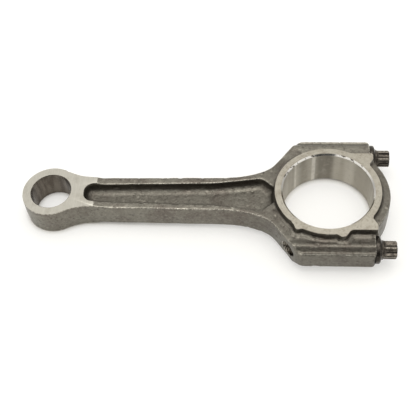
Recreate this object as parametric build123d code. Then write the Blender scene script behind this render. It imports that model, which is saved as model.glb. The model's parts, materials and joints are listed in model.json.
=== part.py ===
from build123d import *
import os
from math import asin, atan2, cos, degrees, radians, sin, sqrt

# A forged connecting rod with a fracture-split bearing cap and two cap bolts. Millimetres.
# Origin: centre of the big-end bore, half way through its thickness.
# +X: along the beam, from the small end to the cap. +Z: along both bore axes.

# Bores and machined faces
CENTRE_DISTANCE = 144.0
BIG_BORE_R = 23.0
BIG_BORE_CHAMFER = 0.8
BIG_HALF_THICK = 10.5
SMALL_BORE_R = 10.5
SMALL_BORE_CHAMFER = 0.25
SMALL_OUTER_R = 15.4
SMALL_HALF_THICK = 7.7

# Forged beam, an I section
BEAM_HALF_THICK = 6.9
BEAM_HALF_WIDTH_SMALL = 9.5
BEAM_HALF_WIDTH_BIG = 10.5
FLARE_START_X = -58.0
FLARE_R = 70.0
FLARE_TURN = 24.0
SMALL_NECK_R = 30.0
WEB_HALF_THICK = 2.0
POCKET_HALF_WIDTH_SMALL = 5.4
POCKET_HALF_WIDTH_MID = 6.9
POCKET_HALF_WIDTH_BIG = 10.0
POCKET_MID_X = -58.0
POCKET_BIG_X = -34.0
POCKET_TIP_X = -126.2
POCKET_DRAFT = 10.0
POCKET_FLOOR_R = 2.2
POCKET_Y = -0.4

# Bolt bosses beside the big-end bore
BOLT_Y = 28.9
BOSS_HALF_WIDTH = 36.3
BOSS_CROWN_Z = 7.6
BOSS_LIP_Z = 5.5
BOSS_SHOULDER_X = -15.1
BOSS_SHOULDER_R = 7.0
SHOULDER_ROOT_R = 8.0
SEAT_X = 22.8
FORGED_END_X = 23.8
FORGED_END_R = 3.5
SPOT_FACE_R = 9.0

# Raised machined face round the big-end bore
RING_R = 27.1
RING_DRAFT = 7.0
RING_WALL_DEPTH = 4.0
RING_BLOCK_HALF_WIDTH = 24.1
RING_BLOCK_START_X = 11.0
LUG_R = 2.4
LUG_ROOT_R = 1.6
ROD_LUG_ANGLE = -124.0
CAP_LUG_ANGLE = -76.5
LEDGE_END_X = 20.4
LEDGE_END_Y = 21.8
LEDGE_END_R = 1.2
LEDGE_R = 31.8
LEDGE_HALF_THICK = 8.0

# Cap bolts, M8 with a flange and a six-lobed external drive
THREAD_R = 4.0
THREAD_ROOT_R = 3.39
THREAD_PITCH = 1.25
THREAD_TURNS = 15
BOLT_TIP_X = -14.4
BOLT_TIP_R = 3.1
BOLT_WAIST_R = 3.4
BOLT_COLLAR_LENGTH = 3.0
FLANGE_R = 7.0
FLANGE_THICK = 2.5
FLANGE_BEVEL = 0.5
NECK_R = 5.3
HEAD_START_X = 27.6
HEAD_END_X = 33.3
LOBE_TIP_R = 4.71
LOBE_ROUND_R = 0.9
LOBE_VALLEY_R = 3.4
HEAD_END_CHAMFER = 0.6
DIMPLE_R = 1.9
DIMPLE_DEPTH = 0.9

# Bolt holes
ROD_HOLE_R = 4.05
ROD_HOLE_EXIT_R = 3.5
ROD_HOLE_END_X = -16.0
CAP_HOLE_R = 4.2

BIG = 200.0  # larger than the whole rod, for cutting with half spaces


def both_sides(shape):
    """The shape together with its mirror image across the XZ plane."""
    return shape + mirror(shape, about=Plane.XZ)


def both_faces(shape):
    """The shape together with its mirror image across the XY plane."""
    return shape + mirror(shape, about=Plane.XY)


def corner_at(sketch, x, y):
    """The vertex of a sketch nearest to (x, y)."""
    return min(sketch.vertices(), key=lambda v: (v.X - x) ** 2 + (v.Y - y) ** 2)


def corners_at(sketch, x, y):
    """The two vertices of a sketch nearest to (x, y) and (x, -y)."""
    return [corner_at(sketch, x, y), corner_at(sketch, x, -y)]


def rod_outline():
    """Plan outline of the forging: small end, flared beam, shoulders, bosses and cap arc."""
    with BuildSketch() as half:
        with BuildLine():
            flank = Line((-CENTRE_DISTANCE, BEAM_HALF_WIDTH_SMALL), (FLARE_START_X, BEAM_HALF_WIDTH_BIG))
            flare = JernArc(flank @ 1, flank % 1, FLARE_R, FLARE_TURN)
            shoulder = Line(flare @ 1, (BOSS_SHOULDER_X, BOSS_HALF_WIDTH))
            side = Line(shoulder @ 1, (FORGED_END_X, BOSS_HALF_WIDTH))
            Polyline(side @ 1, (FORGED_END_X, 0), (-CENTRE_DISTANCE, 0), flank @ 0)
        make_face()
    root = flare @ 1
    outline = both_sides(half.sketch) + Circle(LEDGE_R)
    outline = fillet(corners_at(outline, root.X, root.Y), SHOULDER_ROOT_R)
    outline = fillet(corners_at(outline, BOSS_SHOULDER_X, BOSS_HALF_WIDTH), BOSS_SHOULDER_R)
    outline = fillet(corners_at(outline, FORGED_END_X, BOSS_HALF_WIDTH), FORGED_END_R)
    outline = outline + Pos(-CENTRE_DISTANCE, 0) * Circle(SMALL_OUTER_R)
    neck_x = -CENTRE_DISTANCE + sqrt(SMALL_OUTER_R**2 - BEAM_HALF_WIDTH_SMALL**2)
    return fillet(corners_at(outline, neck_x, BEAM_HALF_WIDTH_SMALL), SMALL_NECK_R)


def raised_outline():
    """Outline of the machined face: the ring, two lugs on one side and the corners by the seats."""
    block = Polyline(
        (0, 0),
        (RING_BLOCK_START_X, RING_BLOCK_HALF_WIDTH),
        (FORGED_END_X, RING_BLOCK_HALF_WIDTH),
        (FORGED_END_X, LEDGE_END_Y),
        (LEDGE_END_X, LEDGE_END_Y - 7.6),
        close=True,
    )
    outline = Circle(RING_R) + both_sides(make_face(block))
    half_lug = degrees(2 * asin(LUG_R / (2 * RING_R)))
    for angle in (ROD_LUG_ANGLE, CAP_LUG_ANGLE):
        outline = outline + Rot(0, 0, angle) * Pos(RING_R, 0) * Circle(LUG_R)
        for edge_angle in (angle - half_lug, angle + half_lug):
            x = RING_R * cos(radians(edge_angle))
            y = RING_R * sin(radians(edge_angle))
            outline = fillet(corner_at(outline, x, y), LUG_ROOT_R)
    outline = fillet(corners_at(outline, LEDGE_END_X + 1.1, LEDGE_END_Y - 5.4), LEDGE_END_R)
    return outline


def boss_section():
    """Cross-section of the big end in the YZ plane, one quarter mirrored twice."""
    with BuildSketch(Plane.YZ) as quarter:
        with BuildLine():
            web = Line((0, BEAM_HALF_THICK), (BOLT_Y - 3.4, BEAM_HALF_THICK))
            rise = Line(web @ 1, (BOLT_Y - 0.4, BOSS_CROWN_Z))
            crown = Line(rise @ 1, (BOLT_Y + 1.9, BOSS_CROWN_Z))
            foot = (BOLT_Y + 5.7, BOSS_LIP_Z - 0.1)
            fall = ThreePointArc(crown @ 1, (BOLT_Y + 4.4, BOSS_CROWN_Z - 0.85), foot)
            lip = Line(fall @ 1, (BOSS_HALF_WIDTH - 0.5, BOSS_LIP_Z))
            edge = Line(lip @ 1, (BOSS_HALF_WIDTH, BOSS_LIP_Z - 0.4))
            Polyline(edge @ 1, (BOSS_HALF_WIDTH, 0), (0, 0), web @ 0)
        make_face()
    return both_faces(both_sides(quarter.sketch))


def pocket_outline():
    """Outline of the hollow between the beam's flanges, at the flange tops."""
    end_x = POCKET_TIP_X + POCKET_HALF_WIDTH_SMALL
    half = Polyline(
        (end_x, 0),
        (end_x, POCKET_HALF_WIDTH_SMALL),
        (POCKET_MID_X, POCKET_HALF_WIDTH_MID),
        (POCKET_BIG_X, POCKET_HALF_WIDTH_BIG),
        (-RING_R - 0.6, 4.6),
        (-RING_R - 0.6, 0),
        close=True,
    )
    outline = both_sides(make_face(half))
    outline = fillet(corners_at(outline, POCKET_BIG_X, POCKET_HALF_WIDTH_BIG), 3.0)
    outline = fillet(corners_at(outline, POCKET_MID_X, POCKET_HALF_WIDTH_MID), 40.0)
    return outline + Pos(end_x, 0) * Circle(POCKET_HALF_WIDTH_SMALL)


def beam_pocket():
    """One pocket, with drafted walls and a rounded floor."""
    depth = BEAM_HALF_THICK - WEB_HALF_THICK
    top = Pos(0, POCKET_Y, BEAM_HALF_THICK) * pocket_outline()
    pocket = extrude(top, amount=-depth, taper=POCKET_DRAFT)
    floor = pocket.faces().sort_by(Axis.Z)[0]
    pocket = fillet(floor.edges(), POCKET_FLOOR_R)
    lid = extrude(top, amount=BIG_HALF_THICK)
    return pocket + lid


def chamfered_hole(radius, half_thick, chamfer_size):
    """A cutter for a through hole along Z with a chamfer at both mouths."""
    profile = Polyline(
        (0, half_thick + 1),
        (radius + chamfer_size + 1, half_thick + 1),
        (radius, half_thick - chamfer_size),
        (radius, 0),
        (0, 0),
        close=True,
    )
    return both_faces(revolve(Plane.XZ * make_face(profile), Axis.Z))


def along_bolt(shape, y):
    """A shape modelled along +Z is laid along +X on a bolt axis."""
    return Pos(0, y, 0) * Rot(0, 90, 0) * shape


def half_space(x_low, x_high):
    """A box that keeps everything between two X positions."""
    return Pos((x_low + x_high) / 2, 0, 0) * Box(x_high - x_low, BIG, BIG)


def forging():
    """Rod and cap in one piece, as forged, with the raised faces and pockets."""
    outline = rod_outline()
    beam = extrude(outline, amount=BEAM_HALF_THICK, both=True)
    beam = beam & half_space(-BIG, -24.0)
    bosses = extrude(outline, amount=BEAM_HALF_THICK + 5, both=True)
    bosses = bosses & extrude(boss_section(), amount=BIG, both=True) & half_space(-30.0, BIG)
    small_end = extrude(outline, amount=SMALL_HALF_THICK, both=True) & half_space(-BIG, -123.5)
    ledge = extrude(Circle(LEDGE_R), amount=LEDGE_HALF_THICK, both=True) & half_space(10.0, BIG)
    ledge = ledge & Pos(LEDGE_R, 0, 0) * Box(2 * LEDGE_R, 2 * RING_BLOCK_HALF_WIDTH - 3, 30)
    raised_top = Plane.XY.offset(BIG_HALF_THICK) * raised_outline()
    raised = extrude(raised_top, amount=-RING_WALL_DEPTH, taper=-RING_DRAFT)
    body = beam + bosses + small_end - both_faces(beam_pocket()) + ledge + both_faces(raised)
    spot_face = Cylinder(SPOT_FACE_R, BIG, align=(Align.CENTER, Align.CENTER, Align.MIN))
    return body - both_sides(along_bolt(Pos(0, 0, SEAT_X) * spot_face, BOLT_Y))


def rod_body(blank):
    """Beam with the small end and the fixed half of the big end."""
    body = blank & half_space(-BIG, 0)
    body = body - chamfered_hole(BIG_BORE_R, BIG_HALF_THICK, BIG_BORE_CHAMFER)
    small_bore = chamfered_hole(SMALL_BORE_R, SMALL_HALF_THICK, SMALL_BORE_CHAMFER)
    body = body - Pos(-CENTRE_DISTANCE, 0, 0) * small_bore
    for side in (1, -1):
        exit_hole = Cylinder(ROD_HOLE_EXIT_R, 40, align=(Align.CENTER, Align.CENTER, Align.MAX))
        threaded = Pos(0, 0, ROD_HOLE_END_X) * Cylinder(
            ROD_HOLE_R, -ROD_HOLE_END_X, align=(Align.CENTER, Align.CENTER, Align.MIN)
        )
        body = body - along_bolt(exit_hole + threaded, side * BOLT_Y)
    return body


def bearing_cap(blank):
    """The other half of the big end, broken off the rod at the plane X = 0."""
    body = blank & half_space(0, BIG)
    body = body - chamfered_hole(BIG_BORE_R, BIG_HALF_THICK, BIG_BORE_CHAMFER)
    for side in (1, -1):
        body = body - along_bolt(Cylinder(CAP_HOLE_R, BIG), side * BOLT_Y)
    return body


def lobed_outline():
    """Six-lobed drive: convex lobes joined by tangent hollows."""
    lobe_centre = LOBE_TIP_R - LOBE_ROUND_R
    hollow_r = (
        lobe_centre**2 + LOBE_VALLEY_R**2 - sqrt(3) * lobe_centre * LOBE_VALLEY_R - LOBE_ROUND_R**2
    ) / (2 * LOBE_ROUND_R - 2 * LOBE_VALLEY_R + sqrt(3) * lobe_centre)
    hollow_centre = LOBE_VALLEY_R + hollow_r
    outline = RegularPolygon(hollow_centre, 6, major_radius=True, rotation=30)
    for k in range(6):
        angle = radians(30 + 60 * k)
        outline = outline - Pos(hollow_centre * cos(angle), hollow_centre * sin(angle)) * Circle(hollow_r)
    # Only the core is kept from the polygon: the lobes' round ends close the outline.
    turn = atan2(hollow_centre / 2, hollow_centre * sqrt(3) / 2 - lobe_centre)
    tip_x = lobe_centre + LOBE_ROUND_R * cos(turn)
    tip_y = LOBE_ROUND_R * sin(turn)
    outline = outline & Circle(sqrt(tip_x**2 + tip_y**2))
    for k in range(6):
        angle = radians(60 * k)
        outline = outline + Pos(lobe_centre * cos(angle), lobe_centre * sin(angle)) * Circle(LOBE_ROUND_R)
    return outline


def cap_bolt():
    """One bolt along +Z: thread, waist, collar, flange, neck and lobed head."""
    points = [(0, BOLT_TIP_X), (BOLT_TIP_R, BOLT_TIP_X), (THREAD_ROOT_R, BOLT_TIP_X + 0.5)]
    for turn in range(THREAD_TURNS):
        start = BOLT_TIP_X + 0.5 + turn * THREAD_PITCH
        points.append((THREAD_R, start + 0.45 * THREAD_PITCH))
        points.append((THREAD_R, start + 0.55 * THREAD_PITCH))
        points.append((THREAD_ROOT_R, start + THREAD_PITCH))
    flange_top = SEAT_X + FLANGE_THICK
    points += [
        (BOLT_WAIST_R, SEAT_X - BOLT_COLLAR_LENGTH - 0.8),
        (THREAD_R, SEAT_X - BOLT_COLLAR_LENGTH),
        (THREAD_R, SEAT_X),
        (FLANGE_R, SEAT_X),
        (FLANGE_R, flange_top - FLANGE_BEVEL),
        (FLANGE_R - FLANGE_BEVEL, flange_top),
        (NECK_R, flange_top + 0.5),
        (LOBE_TIP_R, HEAD_START_X),
        (0, HEAD_START_X),
    ]
    shank = revolve(Plane.XZ * make_face(Polyline(*points, close=True)), Axis.Z)
    head = extrude(Plane.XY.offset(SEAT_X) * lobed_outline(), amount=HEAD_END_X - SEAT_X)
    head_end = Polyline(
        (0, SEAT_X),
        (LOBE_TIP_R + 1, SEAT_X),
        (LOBE_TIP_R + 1, HEAD_END_X - 2 * HEAD_END_CHAMFER),
        (LOBE_TIP_R - HEAD_END_CHAMFER, HEAD_END_X),
        (DIMPLE_R, HEAD_END_X),
        (DIMPLE_R - 0.6, HEAD_END_X - DIMPLE_DEPTH),
        (0, HEAD_END_X - DIMPLE_DEPTH),
        close=True,
    )
    head = head & revolve(Plane.XZ * make_face(head_end), Axis.Z)
    return shank + head


os.makedirs("parts", exist_ok=True)
blank = forging()
export_step(rod_body(blank), "parts/rod_body.step")
export_step(bearing_cap(blank), "parts/bearing_cap.step")
export_step(along_bolt(cap_bolt(), BOLT_Y), "parts/cap_bolt_left.step")
export_step(along_bolt(cap_bolt(), -BOLT_Y), "parts/cap_bolt_right.step")
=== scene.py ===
import json
import math

import bpy
import numpy as np
from mathutils import Matrix, Vector


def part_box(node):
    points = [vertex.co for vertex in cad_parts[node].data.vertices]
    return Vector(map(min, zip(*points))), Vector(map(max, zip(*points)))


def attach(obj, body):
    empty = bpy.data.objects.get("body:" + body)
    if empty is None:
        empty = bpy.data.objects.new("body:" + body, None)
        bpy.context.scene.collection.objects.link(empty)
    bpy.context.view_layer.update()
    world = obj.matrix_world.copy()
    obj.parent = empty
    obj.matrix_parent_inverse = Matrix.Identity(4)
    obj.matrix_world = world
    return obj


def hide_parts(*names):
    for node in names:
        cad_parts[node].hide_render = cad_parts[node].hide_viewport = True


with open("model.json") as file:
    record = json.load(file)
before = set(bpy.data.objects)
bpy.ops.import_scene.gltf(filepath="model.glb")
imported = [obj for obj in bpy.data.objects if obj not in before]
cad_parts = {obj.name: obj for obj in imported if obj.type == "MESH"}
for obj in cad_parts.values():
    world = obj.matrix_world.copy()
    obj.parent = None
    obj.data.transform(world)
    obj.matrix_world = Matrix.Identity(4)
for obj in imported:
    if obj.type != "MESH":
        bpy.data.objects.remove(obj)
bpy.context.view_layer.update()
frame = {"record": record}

# ---------------------------------------------------------------------------
# Dimensions in millimetres. The frame gives the driving ones.
# ---------------------------------------------------------------------------
MM = 0.001
MOUNTS = {m["name"]: m for m in frame["record"]["mounts"]}


def box_mm(node):
    """Lowest and highest corner of a CAD node, in millimetres."""
    low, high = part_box(node)
    return low / MM, high / MM


ROD_LOW, ROD_HIGH = box_mm("rod_body")
_, CAP_HIGH = box_mm("bearing_cap")
BOLT_LOW, BOLT_HIGH = box_mm("cap_bolt_left")

BIG_BORE_R = MOUNTS["big_end_bore"]["dims"]["r_mm"]
SMALL_BORE_R = MOUNTS["small_end_bore"]["dims"]["r_mm"]
SMALL_X = MOUNTS["small_end_bore"]["pos_m"][0] / MM
BIG_TOP = ROD_HIGH.z
SMALL_TOP = MOUNTS["small_end_face_top"]["pos_m"][2] / MM
SMALL_R = SMALL_X - ROD_LOW.x
BOSS_Y = ROD_HIGH.y
CAP_R = CAP_HIGH.x
BOLT_Y = (BOLT_LOW.y + BOLT_HIGH.y) / 2
BOLT_TIP_X = BOLT_LOW.x
HEAD_END_X = BOLT_HIGH.x
FLANGE_R = (BOLT_HIGH.z - BOLT_LOW.z) / 2
BIG_CHAMFER = BIG_TOP - MOUNTS["big_end_bore"]["dims"]["length_mm"] / 2
SMALL_CHAMFER = SMALL_TOP - MOUNTS["small_end_bore"]["dims"]["length_mm"] / 2

# Forging. STOCK is machined off its faces, and PITCH is the spacing of the samples of its field.
BEAM_TOP = 6.9
BEAM_HALF_SMALL = 9.5
BEAM_HALF_BIG = 10.67
FLARE_X = -42.5
FLARE_R = 50.0
NECK_R = 30.0
FORGED_END_X = 23.8
BOSS_END_X = 23.2
LEDGE_TOP = 8.0
WEB_TOP = 2.0
POCKET_Y = -0.4
RING_R = 27.1
BLOCK_Y = 24.1
OUTLINE_DRAFT = math.tan(math.radians(1.5))
RING_DRAFT = math.tan(math.radians(7))
POCKET_DRAFT = math.tan(math.radians(11))
STOCK = 0.5
CROWN_Y = 31.0
BOSS_DROP = 1.75
RIDGE = 0.6
SKIN_INSET = 0.1
PITCH = 0.42

# Machining
SEAT_X = 22.8
SPOT_FACE_R = 9.0
CAP_HOLE_R = 4.2
ROD_HOLE_R = 4.05
THREAD_PITCH = 1.25
THREAD_DEPTH = 0.61
THREAD_STEP = THREAD_PITCH / 10
BREAK_GAP = 0.024

# ---------------------------------------------------------------------------
# Outlines and distances
# ---------------------------------------------------------------------------


def arc(centre, radius, start, end):
    """Points on an arc from one angle to the other, in degrees, about every 4 degrees."""
    count = max(2, int(abs(end - start) / 4) + 1)
    angles = np.radians(np.linspace(start, end, count))
    return np.stack([centre[0] + radius * np.cos(angles), centre[1] + radius * np.sin(angles)], 1)


def rounded(corners):
    """A line through corners (x, y, radius), with a tangent arc at each corner that has a radius."""
    points = []
    for i, (x, y, radius) in enumerate(corners):
        here = np.array([x, y], float)
        if radius == 0:
            points.append(here[None])
            continue
        before = np.array(corners[i - 1][:2], float) - here
        after = np.array(corners[(i + 1) % len(corners)][:2], float) - here
        before /= np.linalg.norm(before)
        after /= np.linalg.norm(after)
        half = math.acos(np.clip(before @ after, -1, 1)) / 2
        middle = before + after
        centre = here + middle / np.linalg.norm(middle) * radius / math.sin(half)
        reach = radius / math.tan(half)
        first = here + before * reach - centre
        last = here + after * reach - centre
        start = math.degrees(math.atan2(first[1], first[0]))
        turn = math.degrees(math.atan2(last[1], last[0])) - start
        turn = (turn + 180) % 360 - 180
        points.append(arc(centre, radius, start, start + turn))
    return np.concatenate(points)


def mirrored(half):
    """A closed outline from its half above the X axis."""
    return np.concatenate([half, half[::-1] * (1, -1)])


def outline_distance(outline, x, y):
    """Signed distance from each point of the plane to a closed outline, negative inside."""
    best = np.full(x.shape, 1e9)
    inside = np.zeros(x.shape, bool)
    for (ax, ay), (bx, by) in zip(outline, np.roll(outline, -1, 0)):
        ex, ey = bx - ax, by - ay
        length = ex * ex + ey * ey
        if length < 1e-12:
            continue
        t = np.clip(((x - ax) * ex + (y - ay) * ey) / length, 0, 1)
        best = np.minimum(best, (x - ax - t * ex) ** 2 + (y - ay - t * ey) ** 2)
        crosses = (ay > y) != (by > y)
        if ay != by:
            inside ^= crosses & (x < ax + (y - ay) / (by - ay) * ex)
    return np.sqrt(best) * np.where(inside, -1, 1)


def ramp(value, start, end):
    """0 before start, 1 after end, and smooth between."""
    t = np.clip((value - start) / (end - start), 0, 1)
    return t * t * (3 - 2 * t)


def bump(value, centre, width):
    """A smooth hill of height 1."""
    return np.exp(-(((value - centre) / width) ** 2))


def both(a, b, radius):
    """Intersection of two distance fields with a rounded edge."""
    corner = np.hypot(np.maximum(a + radius, 0), np.maximum(b + radius, 0))
    return np.minimum(np.maximum(a, b), -radius) + corner


def either(a, b, radius):
    """Union of two distance fields with a fillet."""
    return -both(-a, -b, radius)


def plan_outline():
    """Plan of the forging: small end, neck, beam, flare, shoulder, boss and cap."""
    slope = math.atan2(BEAM_HALF_BIG - BEAM_HALF_SMALL, FLARE_X - SMALL_X)
    off = NECK_R + BEAM_HALF_SMALL * math.cos(slope)
    along = math.sqrt((SMALL_R + NECK_R) ** 2 - off**2)
    neck = np.array([SMALL_X, 0]) + along * np.array([math.cos(slope), math.sin(slope)])
    neck += off * np.array([-math.sin(slope), math.cos(slope)])
    touch = math.degrees(math.atan2(neck[1], neck[0] - SMALL_X))
    end_y = math.sqrt(CAP_R**2 - BOSS_END_X**2)
    half = [
        arc((SMALL_X, 0), SMALL_R, 180, touch),
        arc(neck, NECK_R, touch + 180, math.degrees(slope) + 270),
        rounded(
            [
                (neck[0], BEAM_HALF_SMALL, 0),
                (FLARE_X, BEAM_HALF_BIG, FLARE_R),
                (-29.2, 16.6, 15.0),
                (-15.1, BOSS_Y, 7.0),
                (BOSS_END_X, BOSS_Y, 2.4),
                (BOSS_END_X, end_y, 0),
            ]
        )[1:],
        arc((0, 0), CAP_R, math.degrees(math.atan2(end_y, BOSS_END_X)), 0),
    ]
    return mirrored(np.concatenate(half))


def raised_outline():
    """The ground face: a ring, a block beside each bolt seat, and two lugs on the -Y side."""
    far = [
        arc((0, 0), RING_R, 180, 66),
        rounded(
            [
                (11.0, 24.8, 0),
                (12.6, BLOCK_Y, 6.0),
                (FORGED_END_X + 0.1, BLOCK_Y, 0.9),
                (FORGED_END_X + 0.1, 20.6, 1.6),
                (21.8, 16.9, 1.5),
                (22.2, 15.6, 0),
            ]
        )[1:-1],
        arc((0, 0), RING_R, 35, 0),
    ]
    near = [
        arc((0, 0), RING_R, 0, -35),
        rounded(
            [
                (22.2, -15.6, 0),
                (21.8, -16.9, 1.5),
                (FORGED_END_X + 0.1, -20.6, 1.6),
                (FORGED_END_X + 0.1, -BLOCK_Y, 0.9),
                (10.8, -BLOCK_Y, 3.0),
                (7.3, -29.6, 2.3),
                (4.0, -26.9, 3.0),
                (2.6, -26.95, 0),
            ]
        )[1:-1],
        arc((0, 0), RING_R, -84, -115),
        rounded(
            [
                (-11.6, -24.5, 0),
                (-13.6, -23.7, 1.8),
                (-16.1, -25.2, 1.8),
                (-17.6, -21.2, 2.4),
                (-18.9, -19.4, 0),
            ]
        )[1:-1],
        arc((0, 0), RING_R, -134.5, -176),
    ]
    return np.concatenate(far + near)


def pocket_outline():
    """The hollow between the flanges, at the flange tops."""
    return mirrored(
        rounded(
            [
                (-126.2, 0, 0),
                (-126.2, 5.3, 4.6),
                (-58.0, 6.9, 40.0),
                (-33.4, 10.2, 5.0),
                (-27.2, 4.4, 0),
                (-27.2, 0, 0),
            ]
        )
    )


# ---------------------------------------------------------------------------
# The forging as a distance field
# ---------------------------------------------------------------------------


def top_height(x, y, raised):
    """Height of the forged skin above the middle plane, away from the raised face and the pocket."""
    side = np.abs(y)
    crown = np.where(y < 0, 0.5, 0.15) * bump(side, CROWN_Y, 1.9)
    slope = BOSS_DROP * ramp(side, CROWN_Y + 0.5, CROWN_Y + 3.9)
    lip = np.where(y < 0, 0.3 * bump(side, BOSS_Y - 0.9, 0.5), 0.5 * bump(side, BOSS_Y - 0.6, 0.9))
    ridge = RIDGE * bump(raised, 1.25, 0.75) * ramp(side, 9, 14)
    ridge = ridge * (1 - ramp(side, CROWN_Y - 2, CROWN_Y + 0.5)) * (1 - ramp(x, 20, 22))
    top = BEAM_TOP + ramp(x, -30, -22) * (crown - slope + lip + ridge)
    ledge = ramp(x, 14, 20) * ramp(np.hypot(x, y), 26, 27.5) * (1 - ramp(side, 20.5, 23))
    top = top * (1 - ledge) + LEDGE_TOP * ledge
    return top + (SMALL_TOP + STOCK - BEAM_TOP) * (1 - ramp(x, -122.5, -116.5))


def forging_field():
    """Samples the upper half of the forging and mirrors it: the field and its low corner."""
    xs = np.arange(ROD_LOW.x - 1.5, CAP_R + 1.5, PITCH)
    ys = np.arange(-BOSS_Y - 1.5, BOSS_Y + 1.5, PITCH)
    zs = np.arange(0, BIG_TOP + STOCK + 1.2, PITCH)
    x, y = np.meshgrid(xs, ys, indexing="ij")
    plan = outline_distance(plan_outline(), x, y)
    raised = outline_distance(raised_outline(), x, y)
    hollow = outline_distance(pocket_outline(), x, y - POCKET_Y)
    top = top_height(x, y, raised)

    z = zs[None, None, :]
    widest = BEAM_TOP * ramp(x, -122, -110) * (1 - ramp(x, -40, -20))
    side = plan[:, :, None] + OUTLINE_DRAFT * (z - widest[:, :, None])
    body = both(side, z - top[:, :, None], 0.7)
    wall = hollow[:, :, None] + POCKET_DRAFT * (BEAM_TOP - z)
    pocket = both(wall, WEB_TOP - z, 3.1)
    body = both(body, -pocket, 0.7)
    rim = raised[:, :, None] - RING_DRAFT * (BIG_TOP - z)
    body = either(body, both(rim, z - BIG_TOP - STOCK, 0.3), 0.9)
    return np.concatenate([body[:, :, :0:-1], body], 2), np.array([xs[0], ys[0], -zs[-1]])


def sampled(field, low, points):
    """Trilinear reading of a field at points."""
    at = (points - low) / PITCH
    cell = np.clip(np.floor(at).astype(int), 0, np.array(field.shape) - 2)
    t = np.clip(at - cell, 0, 1)
    value = np.zeros(len(points))
    for corner in np.ndindex(2, 2, 2):
        weight = np.prod(np.where(corner, t, 1 - t), axis=1)
        value += weight * field[tuple((cell + corner).T)]
    return value


def machined(field, low):
    """The same field after the faces and bores are cut, for reading edges and hollows."""
    x, y, z = (low[i] + PITCH * np.arange(field.shape[i]) for i in range(3))
    x, y, z = np.meshgrid(x, y, np.abs(z), indexing="ij", sparse=True)
    at_small = x < (SMALL_X - RING_R) / 2
    face = z - np.where(at_small, SMALL_TOP, BIG_TOP)
    bore = np.where(at_small, SMALL_BORE_R - np.hypot(x - SMALL_X, y), BIG_BORE_R - np.hypot(x, y))
    seat = np.minimum(x - SEAT_X, SPOT_FACE_R - np.hypot(np.abs(y) - BOLT_Y, z))
    return np.maximum(np.maximum(field, face), np.maximum(bore, seat))


def lattice_noise(points, size, seed):
    """Smooth noise between -1 and 1 with features of one size, the same each run."""
    values = np.random.default_rng(seed).uniform(-1, 1, (32, 32, 32))
    at = points / size
    cell = np.floor(at).astype(int)
    t = at - cell
    t = t * t * (3 - 2 * t)
    result = np.zeros(len(points))
    for corner in np.ndindex(2, 2, 2):
        weight = np.prod(np.where(corner, t, 1 - t), axis=1)
        result += weight * values[tuple(((cell + corner) % 32).T)]
    return result


def surface_net(field, low):
    """Points and quads of the zero level of a field, one point per crossed cell."""
    cells = tuple(n - 1 for n in field.shape)
    inside = field < 0
    count = np.zeros(cells, np.int8)
    offsets = np.array([(i, j, k) for i in (0, 1) for j in (0, 1) for k in (0, 1)])
    for i, j, k in offsets:
        count += inside[i : cells[0] + i, j : cells[1] + j, k : cells[2] + k]
    crossed = (count > 0) & (count < 8)
    cell = np.argwhere(crossed)
    number = np.full(cells, -1, np.int64)
    number[crossed] = np.arange(len(cell))
    values = np.stack([field[tuple((cell + o).T)] for o in offsets], 1)
    total = np.zeros((len(cell), 3))
    hits = np.zeros(len(cell))
    for a in range(8):
        for b in range(a + 1, 8):
            if np.abs(offsets[a] - offsets[b]).sum() != 1:
                continue
            cut = (values[:, a] < 0) != (values[:, b] < 0)
            t = values[cut, a] / (values[cut, a] - values[cut, b])
            total[cut] += offsets[a] + t[:, None] * (offsets[b] - offsets[a])
            hits[cut] += 1
    points = low + PITCH * (cell + total / hits[:, None])

    quads = []
    for axis in range(3):
        u, v = (axis + 1) % 3, (axis + 2) % 3
        start = inside.take(np.arange(cells[axis]), axis)
        end = inside.take(np.arange(1, cells[axis] + 1), axis)
        edge = np.argwhere(start != end)
        edge = edge[(edge[:, u] > 0) & (edge[:, v] > 0)]
        edge = edge[(edge[:, u] < cells[u]) & (edge[:, v] < cells[v])]
        ring = []
        for du, dv in ((-1, -1), (0, -1), (0, 0), (-1, 0)):
            at = edge.copy()
            at[:, u] += du
            at[:, v] += dv
            ring.append(number[tuple(at.T)])
        quad = np.stack(ring, 1)
        outward = start[tuple(edge.T)]
        quad[~outward] = quad[~outward][:, ::-1]
        quads.append(quad)
    return points, np.concatenate(quads)


# ---------------------------------------------------------------------------
# Meshes
# ---------------------------------------------------------------------------


def mesh_object(name, points, faces):
    """A mesh object from points in millimetres."""
    mesh = bpy.data.meshes.new(name)
    mesh.from_pydata((np.asarray(points) * MM).tolist(), [], [list(f) for f in faces])
    mesh.validate()
    piece = bpy.data.objects.new(name, mesh)
    bpy.context.scene.collection.objects.link(piece)
    return piece


def points_of(mesh):
    """The points of a mesh in millimetres."""
    flat = np.empty(len(mesh.vertices) * 3, np.float32)
    mesh.vertices.foreach_get("co", flat)
    return flat.reshape(-1, 3).astype(float) / MM


def store(mesh, name, values):
    """Keeps one number for each point, for the materials."""
    layer = mesh.attributes.new(name, "FLOAT", "POINT")
    layer.data.foreach_set("value", np.asarray(values, np.float32))


def rings_mesh(name, rings, segments, place):
    """A closed solid from rings (height, radius or radii), capped with a point at both ends."""
    angles = np.linspace(0, 2 * np.pi, segments, endpoint=False)
    points = [place(0.0, 0.0, rings[0][0])]
    for height, radius in rings:
        radii = np.broadcast_to(radius, segments)
        points += [place(r * math.cos(a), r * math.sin(a), height) for r, a in zip(radii, angles)]
    points.append(place(0.0, 0.0, rings[-1][0]))
    last = len(points) - 1
    top = last - segments
    faces = []
    for j in range(segments):
        k = (j + 1) % segments
        faces.append((0, 1 + k, 1 + j))
        faces.append((last, top + j, top + k))
        for i in range(len(rings) - 1):
            a = 1 + i * segments
            faces.append((a + j, a + k, a + segments + k, a + segments + j))
    return mesh_object(name, points, faces)


def upright(x):
    """Places rings on a vertical axis at x."""
    return lambda a, b, h: (x + a, b, h)


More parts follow.
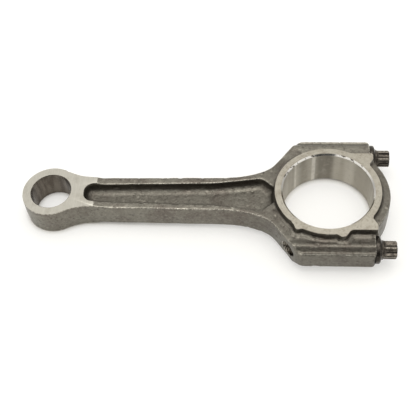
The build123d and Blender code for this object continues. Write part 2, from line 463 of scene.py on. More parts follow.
def on_bolt(y):
    """Places rings on a bolt axis at y."""
    return lambda a, b, h: (h, y + a, b)


def combined(piece, tools, operation):
    """Cuts or keeps with closed tools, which are used up."""
    for tool in tools:
        change = piece.modifiers.new("machining", "BOOLEAN")
        change.solver = "MANIFOLD"
        change.operation = operation
        change.object = tool
    shape = piece.evaluated_get(bpy.context.evaluated_depsgraph_get())
    mesh = bpy.data.meshes.new_from_object(shape)
    piece.modifiers.clear()
    piece.data = mesh
    for tool in tools:
        bpy.data.objects.remove(tool)


def bore_tool(x, radius, chamfer, face, reach):
    """Cuts a chamfered bore and both faces round it."""
    rings = [(-face - 6, reach), (-face, reach), (-face, radius + chamfer), (-face + chamfer, radius)]
    rings += [(-h, r) for h, r in rings[::-1]]
    return rings_mesh("bore_tool", rings, 180, upright(x))


def thread_radii(height, crest, root, segments):
    """Radii of a helical thread with flattened crests, at one height."""
    turn = np.arange(segments) / segments
    phase = (height / THREAD_PITCH - turn) % 1.0
    ridge = np.clip(1.35 - 2.7 * np.abs(phase - 0.5), 0, 1)
    return root + (crest - root) * ridge


def clearance_tool(y):
    """Cuts the plain bolt hole in the cap."""
    return rings_mesh("clearance_tool", [(-5.0, CAP_HOLE_R), (60.0, CAP_HOLE_R)], 64, on_bolt(y))


def tapping_tool(y):
    """Cuts the bolt hole in the rod: plain along the bolt, so that it slides, and threaded past its tip."""
    rings = []
    for height in np.arange(-40.0, BOLT_TIP_X - 0.4, THREAD_STEP):
        rings.append((height, thread_radii(height, ROD_HOLE_R, ROD_HOLE_R - THREAD_DEPTH, 64)))
    rings += [(BOLT_TIP_X - 0.2, ROD_HOLE_R), (5.0, ROD_HOLE_R)]
    return rings_mesh("tapping_tool", rings, 64, on_bolt(y))


def fracture_tool(gap):
    """Everything on the rod's side of the broken surface, which is moved by a gap along X."""
    ys = np.arange(-40, 40.1, 0.5)
    zs = np.arange(-13, 13.1, 0.5)
    y, z = np.meshgrid(ys, zs, indexing="ij")
    flat = np.stack([np.zeros(y.size), y.ravel(), z.ravel()], 1)
    rough = 0.22 * lattice_noise(flat, 5.0, 11) + 0.12 * lattice_noise(flat, 1.7, 12)
    rough += 0.05 * lattice_noise(flat, 0.7, 13)
    front = flat.copy()
    front[:, 0] = rough + gap
    points = np.concatenate([front, flat - (220.0, 0, 0)])
    rows, columns = len(ys), len(zs)
    count = rows * columns
    number = np.arange(count).reshape(rows, columns)
    faces = []
    for i in range(rows - 1):
        for j in range(columns - 1):
            quad = (number[i, j], number[i + 1, j], number[i + 1, j + 1], number[i, j + 1])
            faces.append(quad)
            faces.append(tuple(count + n for n in quad[::-1]))
    rim = list(number[:-1, 0]) + list(number[-1, :-1]) + list(number[:0:-1, -1]) + list(number[0, :0:-1])
    for a, b in zip(rim, rim[1:] + rim[:1]):
        faces.append((b, a, count + a, count + b))
    return mesh_object("fracture_tool", points, faces)


# ---------------------------------------------------------------------------
# The rod body and the cap
# ---------------------------------------------------------------------------


def forging(field, low):
    """The whole forging as one mesh with a slightly uneven skin."""
    points, quads = surface_net(field, low)
    blank = mesh_object("forging", points, quads)
    normals = np.empty(len(points) * 3, np.float32)
    blank.data.vertices.foreach_get("normal", normals)
    skin = 0.055 * lattice_noise(points, 7.0, 1) + 0.03 * lattice_noise(points, 2.1, 2)
    skin += 0.018 * lattice_noise(points, 0.9, 3)
    skin -= 0.22 * ramp(lattice_noise(points, 2.4, 4), 0.45, 0.85)
    points = points + normals.reshape(-1, 3) * (skin - SKIN_INSET)[:, None]
    blank.data.vertices.foreach_set("co", (points * MM).astype(np.float32).ravel())
    return blank


def sort_faces(mesh, materials):
    """Gives each face the material of the process that made it."""
    mesh.materials.clear()
    for material in materials.values():
        mesh.materials.append(material)
    index = {name: i for i, name in enumerate(materials)}
    count = len(mesh.polygons)
    centre = np.empty(count * 3, np.float32)
    normal = np.empty(count * 3, np.float32)
    mesh.polygons.foreach_get("center", centre)
    mesh.polygons.foreach_get("normal", normal)
    x, y, z = centre.reshape(-1, 3).T / MM
    nx, _, nz = np.abs(normal.reshape(-1, 3).T)
    big = np.hypot(x, y)
    small = np.hypot(x - SMALL_X, y)
    bolt = np.hypot(np.abs(y) - BOLT_Y, z)
    slot = np.full(count, index["forged"])
    slot[(np.abs(np.abs(z) - BIG_TOP) < 0.02) & (nz > 0.99)] = index["ground_face"]
    slot[(np.abs(np.abs(z) - SMALL_TOP) < 0.02) & (nz > 0.99) & (x < -100)] = index["milled_face"]
    slot[(np.abs(big - BIG_BORE_R) < 0.05) & (nz < 0.3)] = index["big_bore"]
    slot[(big < BIG_BORE_R + BIG_CHAMFER) & (nz > 0.5) & (nz < 0.9)] = index["chamfer"]
    slot[small < SMALL_BORE_R + SMALL_CHAMFER] = index["small_bore"]
    slot[(np.abs(x - SEAT_X) < 0.02) & (nx > 0.99)] = index["spot_face"]
    slot[(np.abs(bolt - SPOT_FACE_R) < 0.05) & (x > SEAT_X) & (nx < 0.3)] = index["spot_face"]
    slot[(bolt < CAP_HOLE_R + 0.02) & (nx < 0.8)] = index["bolt_hole"]
    slot[(np.abs(x) < 0.7) & (nx > 0.55) & (bolt > ROD_HOLE_R)] = index["fracture"]
    mesh.polygons.foreach_set("material_index", slot.astype(np.int32))


def read_relief(mesh, field, low):
    """Stores how sharp an edge and how deep a hollow each point lies on."""
    points = points_of(mesh)
    # The hollow value is also used by the forged steel to paint shade, with grime, into its hollows.
    for name, reach, sign in (("edge", 0.55, 1), ("hollow", 1.6, -1)):
        bend = -6 * sampled(field, low, points)
        for axis in np.eye(3):
            bend += sampled(field, low, points + reach * axis)
            bend += sampled(field, low, points - reach * axis)
        store(mesh, name, np.clip(sign * bend / reach, 0, 2))


def finish_forging(piece, field, low, materials):
    """Materials, relief and shading of a machined forging."""
    sort_faces(piece.data, materials)
    read_relief(piece.data, field, low)
    piece.data.shade_smooth()
    piece.data.set_sharp_from_angle(angle=math.radians(28))


def rod_and_cap(materials):
    """Cuts the forging, breaks it in two and drills each half."""
    field, low = forging_field()
    rod = forging(field, low)
    rod.name = "rod_body_forging"
    big_tool = bore_tool(0.0, BIG_BORE_R, BIG_CHAMFER, BIG_TOP, 70.0)
    small_tool = bore_tool(SMALL_X, SMALL_BORE_R, SMALL_CHAMFER, SMALL_TOP, 26.0)
    seats = [
        rings_mesh("seat_tool", [(SEAT_X, SPOT_FACE_R), (60.0, SPOT_FACE_R)], 96, on_bolt(s * BOLT_Y))
        for s in (1, -1)
    ]
    combined(rod, [big_tool, small_tool] + seats, "DIFFERENCE")
    cap = bpy.data.objects.new("bearing_cap_forging", rod.data.copy())
    bpy.context.scene.collection.objects.link(cap)
    combined(rod, [fracture_tool(-BREAK_GAP / 2)], "INTERSECT")
    combined(rod, [tapping_tool(s * BOLT_Y) for s in (1, -1)], "DIFFERENCE")
    combined(cap, [fracture_tool(BREAK_GAP / 2)], "DIFFERENCE")
    combined(cap, [clearance_tool(s * BOLT_Y) for s in (1, -1)], "DIFFERENCE")
    cut_field = machined(field, low)
    for piece, body, node in ((rod, "rod", "rod_body"), (cap, "cap", "bearing_cap")):
        finish_forging(piece, cut_field, low, materials)
        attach(piece, body)
        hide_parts(node)


# ---------------------------------------------------------------------------
# Bolts
# ---------------------------------------------------------------------------
BOLT_SEGMENTS = 120
THREAD_END_X = 5.0
WAIST_R = 3.4
COLLAR_X = SEAT_X - 3.0
FLANGE_END_X = 25.3
LOBE_TIP_R = 4.71
LOBE_ROUND_R = 0.9
LOBE_VALLEY_R = 3.4
LOBE_START_X = 26.6
HEAD_NECK_R = 4.8


def lobe_radii(turn):
    """Radii of the six-lobed head: round lobes joined by tangent hollows."""
    centre = LOBE_TIP_R - LOBE_ROUND_R
    hollow_r = (
        centre**2 + LOBE_VALLEY_R**2 - math.sqrt(3) * centre * LOBE_VALLEY_R - LOBE_ROUND_R**2
    ) / (2 * LOBE_ROUND_R - 2 * LOBE_VALLEY_R + math.sqrt(3) * centre)
    hollow = LOBE_VALLEY_R + hollow_r
    lean = math.atan2(hollow / 2, hollow * math.sqrt(3) / 2 - centre)
    change = math.atan2(LOBE_ROUND_R * math.sin(lean), centre + LOBE_ROUND_R * math.cos(lean))
    angles = np.arange(BOLT_SEGMENTS) * 2 * np.pi / BOLT_SEGMENTS - turn
    off = np.abs((angles + np.pi / 6) % (np.pi / 3) - np.pi / 6)
    lobe = centre * np.cos(off) + np.sqrt(np.maximum(LOBE_ROUND_R**2 - (centre * np.sin(off)) ** 2, 0))
    rest = np.pi / 6 - off
    inner = hollow * np.cos(rest) - np.sqrt(np.maximum(hollow_r**2 - (hollow * np.sin(rest)) ** 2, 0))
    return np.where(off < change, lobe, inner)


def bolt_rings(turn):
    """Rings of a cap bolt from its tip to the end of its head."""
    crest = ROD_HOLE_R - 0.05
    root = crest - THREAD_DEPTH
    rings = [(BOLT_TIP_X, 2.2), (BOLT_TIP_X, 2.9), (BOLT_TIP_X + 0.12, 3.08), (BOLT_TIP_X + 0.4, root)]
    for height in np.arange(BOLT_TIP_X + 0.5, THREAD_END_X, THREAD_STEP):
        start = ramp(height, BOLT_TIP_X + 0.4, BOLT_TIP_X + 1.7)
        run_out = ramp(height, THREAD_END_X - 1.4, THREAD_END_X - 0.1)
        radii = thread_radii(height, crest, root, BOLT_SEGMENTS)
        rings.append((height, root + (radii - root) * start * (1 - run_out)))
    rings += [(THREAD_END_X + 0.1, WAIST_R), (12.0, WAIST_R), (COLLAR_X - 0.9, WAIST_R)]
    rings += [(COLLAR_X - 0.5, WAIST_R + 0.12), (COLLAR_X - 0.05, crest - 0.05), (COLLAR_X + 0.1, crest)]
    rings += [(SEAT_X - 0.35, crest), (SEAT_X, crest + 0.25), (SEAT_X, 5.5)]
    for ahead, inset in ((0.0, 0.25), (0.08, 0.08), (0.25, 0.0)):
        rings.append((SEAT_X + ahead, FLANGE_R - inset))
    for ahead, inset in ((-0.75, 0.0), (-0.55, 0.08), (-0.12, 0.5), (0.0, 0.75)):
        rings.append((FLANGE_END_X + ahead, FLANGE_R - inset))
    for ahead, radius in ((0.12, 5.7), (0.3, 5.25), (0.65, 4.98), (1.1, HEAD_NECK_R)):
        rings.append((FLANGE_END_X + ahead, radius))
    lobes = lobe_radii(turn)
    for height in np.arange(LOBE_START_X, HEAD_END_X - 1.0, 0.16):
        t = min((height - LOBE_START_X) / 2.0, 1.0)
        deep = math.sqrt(1 - (1 - t) ** 2)
        rings.append((height, np.minimum(HEAD_NECK_R + (lobes - HEAD_NECK_R) * deep, HEAD_NECK_R)))
    for drop, shrink in ((0.9, 0.0), (0.62, 0.05), (0.36, 0.17), (0.15, 0.37), (0.03, 0.62), (0.0, 0.85)):
        rings.append((HEAD_END_X - drop, np.minimum(lobes, LOBE_TIP_R - shrink)))
    rings += [(HEAD_END_X, 2.1), (HEAD_END_X - 0.1, 1.85), (HEAD_END_X - 0.7, 1.3), (HEAD_END_X - 0.9, 0.6)]
    return rings


def cap_bolt(name, y, turn, material):
    """One cap bolt, with its thread, flange and drive."""
    bolt = rings_mesh(name, bolt_rings(math.radians(turn)), BOLT_SEGMENTS, on_bolt(y))
    points = points_of(bolt.data)
    radius = np.hypot(points[:, 1] - y, points[:, 2])
    head = ramp(points[:, 0], LOBE_START_X, LOBE_START_X + 1.5)
    crest = ramp(radius, LOBE_TIP_R - 0.35, LOBE_TIP_R - 0.02) * head
    rim = ramp(radius, FLANGE_R - 0.3, FLANGE_R - 0.02)
    thread = ramp(radius, ROD_HOLE_R - 0.35, ROD_HOLE_R - 0.06) * (points[:, 0] < SEAT_X)
    store(bolt.data, "edge", np.maximum(np.maximum(crest, 0.3 * rim), 0.6 * thread))
    # The hollow value of a bolt marks its flange rim, which the bolt steel darkens as painted shade.
    store(bolt.data, "hollow", ramp(radius, 5.4, 6.2))
    bolt.data.materials.append(material)
    bolt.data.shade_smooth()
    bolt.data.set_sharp_from_angle(angle=math.radians(35))
    return bolt


# ---------------------------------------------------------------------------
# Materials
# ---------------------------------------------------------------------------


class Surface:
    """A metal material, built from short calls. Sizes are in millimetres."""

    def __init__(self, name, metallic=1.0):
        self.material = bpy.data.materials.new(name)
        self.material.use_nodes = True
        self.nodes = self.material.node_tree.nodes
        self.links = self.material.node_tree.links
        self.shader = self.nodes["Principled BSDF"]
        self.shader.inputs["Metallic"].default_value = metallic
        self.place = self.node("ShaderNodeTexCoord").outputs["Object"]

    def node(self, kind, settings=None, **inputs):
        """A node. Inputs go by name or as i0, i1 and so on, and are values or other nodes' outputs."""
        node = self.nodes.new(kind)
        for key, value in (settings or {}).items():
            setattr(node, key, value)
        for key, value in inputs.items():
            numbered = key[0] == "i" and key[1:].isdigit()
            socket = node.inputs[int(key[1:]) if numbered else key]
            if isinstance(value, bpy.types.NodeSocket):
                self.links.new(value, socket)
            else:
                socket.default_value = value
        return node

    def math(self, operation, a, b=0.0):
        """One sum."""
        return self.node("ShaderNodeMath", {"operation": operation}, i0=a, i1=b).outputs[0]

    def times(self, *factors):
        """A product."""
        product = factors[0]
        for factor in factors[1:]:
            product = self.math("MULTIPLY", product, factor)
        return product

    def axes(self):
        """The X, Y and Z of the place."""
        return self.node("ShaderNodeSeparateXYZ", Vector=self.place).outputs

    def stretch(self, vector, x, y, z):
        """A vector, scaled along each axis."""
        return self.node("ShaderNodeMapping", Vector=vector, Scale=(x, y, z)).outputs[0]

    def polar(self, centre_x, around):
        """Coordinates (radius, angle, height) round a vertical axis, in mm, with angle times around."""
        x, y, z = self.axes()
        x = self.math("SUBTRACT", x, centre_x * MM)
        radius = self.math("SQRT", self.math("ADD", self.times(x, x), self.times(y, y)))
        angle = self.times(self.math("ARCTAN2", y, x), around * MM)
        return self.node("ShaderNodeCombineXYZ", i0=radius, i1=angle, i2=z).outputs[0]

    def noise(self, size, detail=3.0, vector=None, seed=0.0, roughness=0.55):
        """Noise with features of a size in mm."""
        node = self.node(
            "ShaderNodeTexNoise",
            {"noise_dimensions": "4D"},
            Vector=vector if vector else self.place,
            W=seed,
            Scale=1000.0 / size,
            Detail=detail,
            Roughness=roughness,
        )
        return node.outputs["Fac"]

    def span(self, value, low, high, start=0.0, end=1.0):
        """Maps a value from one range to another, with a smooth step."""
        settings = {"interpolation_type": "SMOOTHSTEP"}
        inputs = {"i0": value, "i1": low, "i2": high, "i3": start, "i4": end}
        return self.node("ShaderNodeMapRange", settings, **inputs).outputs[0]

    def mix(self, factor, a, b):
        """A blend of two colours."""
        colours = {"i6": a if isinstance(a, bpy.types.NodeSocket) else (*a, 1)}
        colours["i7"] = b if isinstance(b, bpy.types.NodeSocket) else (*b, 1)
        node = self.node("ShaderNodeMix", {"data_type": "RGBA"}, i0=factor, **colours)
        return node.outputs[2]

    def relief(self, name):
        """A number stored on the points of the mesh."""
        return self.node("ShaderNodeAttribute", {"attribute_name": name}).outputs["Fac"]

    def colour(self, value):
        self.links.new(value, self.shader.inputs["Base Color"])

    def roughness(self, value):
        self.links.new(value, self.shader.inputs["Roughness"])

    def bump(self, *heights):
        """Bump from pairs of height and depth in mm."""
        normal = None
        for height, depth in heights:
            node = self.node("ShaderNodeBump", Height=height, Distance=depth * MM)
            if normal:
                self.links.new(normal, node.inputs["Normal"])
            normal = node.outputs[0]
        self.links.new(normal, self.shader.inputs["Normal"])


def forged_material():
    """Shot-blasted forged steel, oil-stained, worn bright on its edges and crumbled along the break, with
    grime and painted shade in its hollows and painted shade in its pockets.
    """
    s = Surface("forged_steel", 0.92)
    stain = s.span(s.noise(14.0, 4.0, seed=1.0), 0.42, 0.66)
    base = s.mix(stain, (0.19, 0.178, 0.148), (0.135, 0.117, 0.098))
    grain = s.noise(0.55, 2.0, seed=2.0, roughness=0.7)
    coarse = s.noise(1.5, 3.0, seed=7.0, roughness=0.75)
    base = s.mix(s.span(grain, 0.5, 0.78, 0, 0.5), base, (0.33, 0.31, 0.265))
    base = s.mix(s.span(coarse, 0.5, 0.7, 0, 0.42), base, (0.32, 0.3, 0.255))
    base = s.mix(s.span(coarse, 0.32, 0.47, 0.7, 0), base, (0.065, 0.055, 0.045))
    # Grime in the hollows, which is also painted shade: the hollow mask darkens the places where shade
    # falls.
    grime_and_shade = s.span(s.noise(3.0, 3.0, seed=3.0), 0.3, 0.6)
    grime_and_shade = s.times(s.span(s.relief("hollow"), 0.15, 1.1), grime_and_shade)
    base = s.mix(s.times(grime_and_shade, 0.5), base, (0.05, 0.042, 0.034))
    patch = s.span(s.noise(0.7, 4.0, seed=4.0, roughness=0.75), 0.42, 0.6)
    wear = s.times(s.span(s.relief("edge"), 0.35, 1.0), patch)
    base = s.mix(s.times(wear, 0.85), base, (0.62, 0.59, 0.51))
    # Painted shade in the pockets, and a darker tone over the big end.
    base = s.mix(painted_shade_and_big_end_tone(s), base, (0.045, 0.039, 0.032))
    pits = s.span(s.noise(2.6, 1.0, seed=5.0), 0.27, 0.22)
    base = s.mix(s.times(pits, 0.75), base, (0.05, 0.04, 0.035))
    base = s.mix(s.times(break_line(s), 0.4), base, (0.03, 0.025, 0.02))
    s.colour(base)
    s.roughness(s.math("SUBTRACT", s.span(grain, 0.3, 0.7, 0.42, 0.32), s.times(wear, 0.1)))
    s.bump((grain, 0.09), (coarse, 0.22), (pits, -0.06))
    return s.material


def painted_shade_and_big_end_tone(s):
    """How much the colour is darkened: painted shade on the web and walls of the pockets, and a lighter
    darkening over the shoulder and big end, away from the +Y boss.
    """
    x, y, z = s.axes()
    across = s.math("ABSOLUTE", y)
    height = s.math("ABSOLUTE", z)
    # Painted shade: the web of the pockets is made a little darker and their walls more so, as they lie in
    # shade.
    web = s.times(
        s.span(height, 2.2 * MM, 2.9 * MM, 0.35, 0.0),
        s.span(across, 3.8 * MM, 5.0 * MM, 1.0, 0.0),
    )
    wall = s.times(
        s.span(height, 3.1 * MM, 3.7 * MM),
        s.span(height, 6.2 * MM, 6.7 * MM, 1.0, 0.0),
        s.span(across, 9.0 * MM, 9.6 * MM, 0.6, 0.0),
    )
    pocket = s.times(
        s.span(x, -130.0 * MM, -126.0 * MM),
        s.span(x, -28.0 * MM, -26.0 * MM, 1.0, 0.0),
        s.math("MAXIMUM", web, wall),
    )
    # A darker tone over the shoulder and big end, away from the +Y boss.
    big_end = s.times(
        s.span(x, -55.0 * MM, -20.0 * MM, 0.0, 0.3),
        s.span(y, 20.0 * MM, 29.0 * MM, 1.0, 0.0),
    )
    return s.math("MAXIMUM", pocket, big_end)


def break_line(s):
    """1 where the edge of the break has crumbled, which is only in places."""
    wander = s.span(s.noise(1.7, 2.0), 0.3, 0.7, -0.2 * MM, 0.2 * MM)
    away = s.math("ABSOLUTE", s.math("ADD", s.axes()[0], wander))
    width = s.span(s.noise(2.4, 2.0, seed=8.0), 0.52, 0.75, 0.0, 0.6 * MM)
    return s.math("LESS_THAN", away, width)


def ground_material():
    """The ground face round the big-end bore, with fine rings and handling marks."""
    s = Surface("ground_face")
    rings = s.noise(0.22, 2.0, s.polar(0.0, 0.35), 1.0)
    stain = s.span(s.noise(5.0, 5.0, seed=2.0, roughness=0.65), 0.4, 0.68)
    base = s.mix(stain, (0.42, 0.39, 0.325), (0.3, 0.27, 0.22))
    base = s.mix(s.span(rings, 0.35, 0.7, 0, 0.35), base, (0.54, 0.51, 0.44))
    speck = s.span(s.noise(1.2, 4.0, seed=3.0, roughness=0.7), 0.5, 0.68)
    base = s.mix(s.times(speck, 0.5), base, (0.17, 0.15, 0.12))
    base = s.mix(s.times(break_line(s), 0.15), base, (0.08, 0.07, 0.055))
    s.colour(base)
    s.roughness(s.span(stain, 0, 1, 0.34, 0.5))
    s.bump((rings, 0.012), (s.noise(0.4, 2.0, seed=4.0), 0.012))
    return s.material


def milled_material():
    """The light small-end face, with straight milling marks."""
    s = Surface("milled_face")
    lines = s.noise(0.3, 2.0, s.stretch(s.place, 1, 0.05, 1), 1.0)
    stain = s.span(s.noise(7.0, 4.0, seed=2.0, roughness=0.6), 0.45, 0.75)
    base = s.mix(stain, (0.47, 0.45, 0.395), (0.38, 0.36, 0.31))
    base = s.mix(s.span(lines, 0.35, 0.7, 0, 0.25), base, (0.64, 0.62, 0.56))
    speck = s.span(s.noise(0.9, 4.0, seed=5.0, roughness=0.7), 0.56, 0.7)
    base = s.mix(s.times(speck, 0.3), base, (0.27, 0.25, 0.21))
    s.colour(base)
    s.roughness(s.span(stain, 0, 1, 0.38, 0.5))
    s.bump((lines, 0.01), (s.noise(0.5, 2.0, seed=3.0), 0.012))
    return s.material


def painted_band(s, angle, width):
    """A soft-edged band of painted reflection along the big-end bore, at an angle in degrees, width in
    degrees.
    """
    x, y, _ = s.axes()
    turn = s.math("ARCTAN2", y, x)
    away = s.math("ABSOLUTE", s.math("SUBTRACT", turn, math.radians(angle)))
    half = math.radians(width / 2)
    broken_up = s.span(s.noise(3.0, 3.0, seed=9.0), 0.3, 0.55, 0.5, 1.0)
    return s.times(s.span(away, half * 0.5, half * 1.4, 1.0, 0.0), broken_up)


def bore_material():
    """The bored wall of the big end, with turning lines, and painted reflections along its axis: dark bands
    and bright highlight streaks.
    """
    s = Surface("big_bore")
    lines = s.noise(0.25, 2.0, s.polar(0.0, 0.3), 1.0)
    wall = s.stretch(s.polar(0.0, BIG_BORE_R), 1, 1, 0.08)
    streak = s.span(s.noise(6.0, 2.0, wall, 2.0), 0.35, 0.65)
    base = s.mix(streak, (0.48, 0.45, 0.385), (0.4, 0.37, 0.31))
    stain = s.span(s.noise(2.2, 4.0, seed=3.0, roughness=0.65), 0.5, 0.72)
    base = s.mix(s.times(stain, 0.3), base, (0.2, 0.18, 0.15))
    base = s.mix(s.span(lines, 0.35, 0.7, 0, 0.3), base, (0.52, 0.49, 0.43))
    # Painted reflections on the far wall: dark bands where the wall would mirror the dark side of the room,
    # and bright highlight streaks.
    dark = (0.16, 0.145, 0.12)
    bright = (0.75, 0.72, 0.65)
    painted_reflections = [(92.0, 23.0, 0.6, dark), (122.0, 17.0, 0.3, dark)]
    painted_reflections += [(107.0, 5.0, 0.8, bright), (135.0, 3.5, 0.6, bright)]
    for angle, width, strength, tone in painted_reflections:
        base = s.mix(s.times(painted_band(s, angle, width), strength), base, tone)
    s.colour(base)
    s.roughness(s.span(streak, 0, 1, 0.34, 0.42))
    s.shader.inputs["Anisotropic"].default_value = 1.0
    s.shader.inputs["Anisotropic Rotation"].default_value = 0.25
    tangent = s.node("ShaderNodeTangent", {"direction_type": "RADIAL", "axis": "Z"}).outputs[0]
    s.links.new(tangent, s.shader.inputs["Tangent"])
    s.bump((lines, 0.01))
    return s.material


def chamfer_material():
    """Bright bore chamfers, with a few nicks."""
    s = Surface("bore_chamfer")
    nick = s.span(s.noise(2.2, 2.0, seed=1.0), 0.58, 0.64)
    s.colour(s.mix(nick, (0.88, 0.86, 0.81), (0.12, 0.1, 0.08)))
    s.roughness(s.span(s.noise(1.5, 2.0, seed=2.0), 0.3, 0.7, 0.08, 0.16))
    s.bump((s.noise(0.8, 2.0, seed=3.0), 0.01))
    return s.material


def small_bore_material():
    """The pin bore, dark brown, with turning lines and smears along its axis."""
    s = Surface("small_bore")
    lines = s.noise(0.25, 2.0, s.polar(SMALL_X, 0.3), 1.0)
    wall = s.stretch(s.polar(SMALL_X, SMALL_BORE_R), 1, 1, 0.2)
    smear = s.span(s.noise(2.6, 4.0, wall, 2.0, 0.65), 0.35, 0.62)
    base = s.mix(smear, (0.15, 0.13, 0.107), (0.09, 0.075, 0.06))
    base = s.mix(s.span(lines, 0.5, 0.75, 0, 0.2), base, (0.26, 0.235, 0.2))
    s.colour(base)
    s.roughness(s.span(smear, 0, 1, 0.16, 0.3))
    s.bump((lines, 0.012))
    return s.material


def spot_face_material():
    """The bolt seats, turned by a spot-facing cutter."""
    s = Surface("spot_face")
    rings = s.noise(0.35, 2.0, seed=1.0)
    s.colour(s.mix(rings, (0.1, 0.09, 0.075), (0.26, 0.235, 0.2)))
    s.roughness(s.span(rings, 0.3, 0.7, 0.35, 0.5))
    s.bump((rings, 0.015))
    return s.material


def bolt_hole_material():
    """Drilled and tapped walls with oily patches, coloured dark as painted shade inside the holes."""
    s = Surface("bolt_hole")
    oil = s.noise(1.5, 3.0, seed=1.0)
    # Painted shade: the walls are coloured dark, as the inside of a hole is shaded.
    s.colour(s.mix(oil, (0.14, 0.125, 0.105), (0.4, 0.37, 0.32)))
    s.roughness(s.span(oil, 0.3, 0.7, 0.2, 0.32))
    s.bump((s.noise(0.3, 2.0, seed=2.0), 0.01))
    return s.material


def fracture_material():
    """The broken surface: coarse, bright crystals."""
    s = Surface("fracture", 0.9)
    grain = s.node("ShaderNodeTexVoronoi", Vector=s.place, Scale=2200.0)
    shade = s.node("ShaderNodeRGBToBW", Color=grain.outputs["Color"]).outputs[0]
    s.colour(s.mix(shade, (0.12, 0.11, 0.1), (0.42, 0.4, 0.36)))
    s.roughness(s.span(shade, 0, 1, 0.3, 0.6))
    s.bump((grain.outputs["Distance"], 0.12), (s.noise(0.9, 3.0, seed=1.0), 0.15))
    return s.material


def bolt_material():
    """Dark phosphated bolt steel, oily, rubbed bright on its edges, with painted shade on the flange rim.
    """
    s = Surface("bolt_steel", 0.85)
    oil = s.span(s.noise(1.8, 4.0, seed=1.0, roughness=0.6), 0.35, 0.65)
    base = s.mix(oil, (0.12, 0.106, 0.088), (0.045, 0.038, 0.031))
    # Painted shade on the flange rim.
    base = s.mix(s.times(s.relief("hollow"), 0.6), base, (0.02, 0.017, 0.014))
    patch = s.span(s.noise(0.9, 3.0, seed=2.0), 0.35, 0.6)
    wear = s.times(s.span(s.relief("edge"), 0.35, 0.95), patch)
    base = s.mix(s.times(wear, 0.6), base, (0.36, 0.33, 0.28))
    s.colour(base)
    s.roughness(s.span(oil, 0, 1, 0.2, 0.34))
    s.bump((s.noise(0.35, 3.0, seed=3.0), 0.02))
    return s.material


FORGING_MATERIALS = {
    "forged": forged_material,
    "ground_face": ground_material,
    "milled_face": milled_material,
    "big_bore": bore_material,
    "chamfer": chamfer_material,
    "small_bore": small_bore_material,
    "spot_face": spot_face_material,
    "bolt_hole": bolt_hole_material,
    "fracture": fracture_material,
}

# ---------------------------------------------------------------------------
# Studio
# ---------------------------------------------------------------------------
FLOOR_HALF = 4000.0
# The level direction from the rod to the photographer
PHOTOGRAPHER = (0.147, -0.989)


def camera():
    """Looks down on the rod from the near side, slightly turned and rolled."""
    azimuth, elevation, roll = (math.radians(a) for a in (8.44, 54.25, -6.3))
    target = Vector((-61.5, -4.5, 0)) * MM
    distance = 430.2 * MM
    flat = math.cos(elevation)
    back = Vector((math.sin(azimuth) * flat, -math.cos(azimuth) * flat, math.sin(elevation)))
    level = (-back).cross(Vector((0, 0, 1))).normalized()
    right = math.cos(roll) * level + math.sin(roll) * back.cross(level)
    up = back.cross(right)
    data = bpy.data.cameras.new("camera")
    data.lens = 71.56
    data.sensor_width = 36
    eye = bpy.data.objects.new("camera", data)
    place = Matrix((right, up, back)).transposed().to_4x4()
    place.translation = target + back * distance
    eye.matrix_world = place
    bpy.context.scene.collection.objects.link(eye)
    bpy.context.scene.camera = eye


def floor():
    """A pale floor under the ring's and the small end's lower edges, with a tight shadow round the rod."""
    slope = (BIG_TOP - SMALL_TOP) / (-RING_R - ROD_LOW.x)
    corners = []
    for across, along in ((-1, -1), (1, -1), (1, 1), (-1, 1)):
        x = across * FLOOR_HALF
        corners.append((x, along * FLOOR_HALF, -BIG_TOP - (x + RING_R) * slope))
    ground = mesh_object("floor", corners, [(0, 1, 2, 3)])
    s = Surface("floor", 0.0)
    open_air = s.node("ShaderNodeAmbientOcclusion", {"samples": 8}, Distance=3.5 * MM).outputs["AO"]
    near = s.span(open_air, 0.2, 0.95, 0.25, 1.0)
    paper = s.mix(s.noise(60.0, 2.0), (0.56, 0.56, 0.55), (0.54, 0.54, 0.53))
    s.colour(s.mix(near, (0.44, 0.4, 0.33), paper))
    s.shader.inputs["Roughness"].default_value = 0.9
    s.shader.inputs["Specular IOR Level"].default_value = 0.1
    s.shader.inputs["Emission Color"].default_value = (1.0, 0.99, 0.965, 1)
    s.links.new(s.times(near, 0.47), s.shader.inputs["Emission Strength"])
    ground.data.materials.append(s.material)


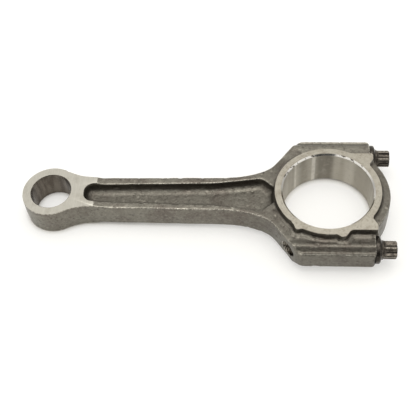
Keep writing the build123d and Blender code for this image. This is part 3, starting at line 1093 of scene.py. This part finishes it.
def studio():
    """A white room lit from above, darker on the side where the photographer stands."""
    world = bpy.data.worlds.new("studio")
    bpy.context.scene.world = world
    world.use_nodes = True
    nodes, links = world.node_tree.nodes, world.node_tree.links

    def maths(operation, *values):
        node = nodes.new("ShaderNodeMath")
        node.operation = operation
        for socket, value in zip(node.inputs, values):
            if isinstance(value, bpy.types.NodeSocket):
                links.new(value, socket)
            else:
                socket.default_value = value
        return node.outputs[0]

    def step(value, low, high, start, end):
        node = nodes.new("ShaderNodeMapRange")
        node.interpolation_type = "SMOOTHSTEP"
        links.new(value, node.inputs[0])
        for socket, number in zip(node.inputs[1:5], (low, high, start, end)):
            socket.default_value = number
        return node.outputs[0]

    split = nodes.new("ShaderNodeSeparateXYZ")
    links.new(nodes.new("ShaderNodeTexCoord").outputs["Generated"], split.inputs[0])
    x, y, z = split.outputs
    front = maths("ADD", maths("MULTIPLY", x, PHOTOGRAPHER[0]), maths("MULTIPLY", y, PHOTOGRAPHER[1]))
    level = maths("SQRT", maths("ADD", maths("MULTIPLY", x, x), maths("MULTIPLY", y, y)))
    person = step(maths("DIVIDE", front, level), 0.88, 0.95, 0.0, 0.95)
    person = maths("MULTIPLY", person, step(z, 0.62, 0.78, 1.0, 0.0))
    walls = maths("ADD", step(z, 0.2, 0.42, 0.46, 0.86), step(front, -0.6, -0.98, 0.0, 0.4))
    light = maths("ADD", walls, step(z, 0.84, 0.96, 0.0, 2.1))
    light = maths("MULTIPLY", light, maths("SUBTRACT", 1.0, person))
    links.new(light, nodes["Background"].inputs["Strength"])
    nodes["Background"].inputs["Color"].default_value = (1.0, 0.99, 0.965, 1)


camera()
studio()
floor()
rod_and_cap({name: make() for name, make in FORGING_MATERIALS.items()})
bolt_steel = bolt_material()
for side, y, turn in (("left", BOLT_Y, 14.0), ("right", -BOLT_Y, 51.3)):
    bolt = cap_bolt(f"cap_{side}_bolt", y, turn, bolt_steel)
    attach(bolt, f"{side}_bolt")
    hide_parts(f"cap_bolt_{side}")

bpy.context.scene.view_settings.view_transform = "Standard"
